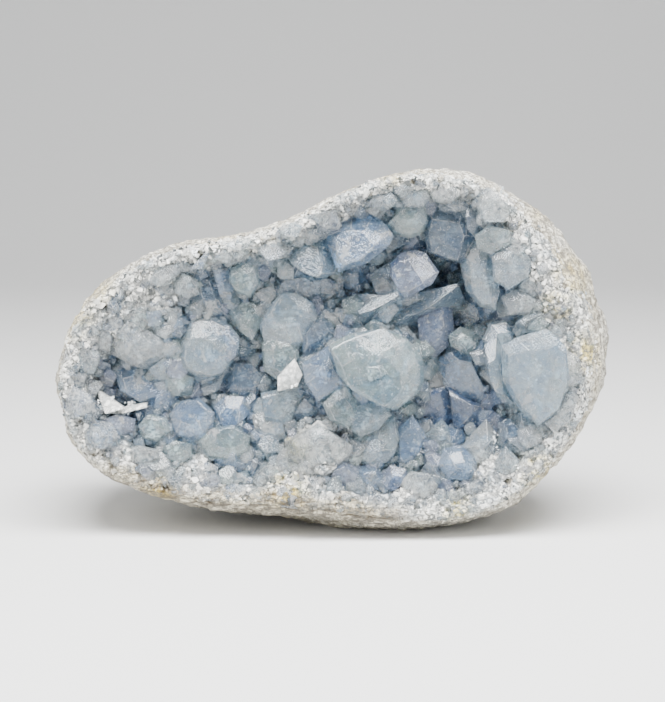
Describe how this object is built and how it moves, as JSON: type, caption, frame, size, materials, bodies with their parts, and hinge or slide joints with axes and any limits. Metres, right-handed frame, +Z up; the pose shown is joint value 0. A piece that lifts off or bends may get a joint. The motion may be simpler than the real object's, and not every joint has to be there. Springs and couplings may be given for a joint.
{
  "type": "celestite geode",
  "caption": "Free-standing celestite geode: a rounded pale rock nodule, open in front, its hollow lined with a crust of pale blue crystals.",
  "frame": {"origin": "middle of the underside of the object's box, on the surface it stands on", "axes": "+X to the right as seen from the open face, +Y away from that viewer through the nodule, +Z up; the open face looks along -Y"},
  "size_m": [0.1988, 0.1062, 0.1277],
  "materials": {
    "rind": "rough cream and white rock skin, sugary at the rim",
    "crystal": "pale blue, glossy, milky celestite crystal"
  },
  "bodies": {
    "root": {"rock_rind": "rind", "crystal_crust": "crystal"}
  },
  "joints": []
}
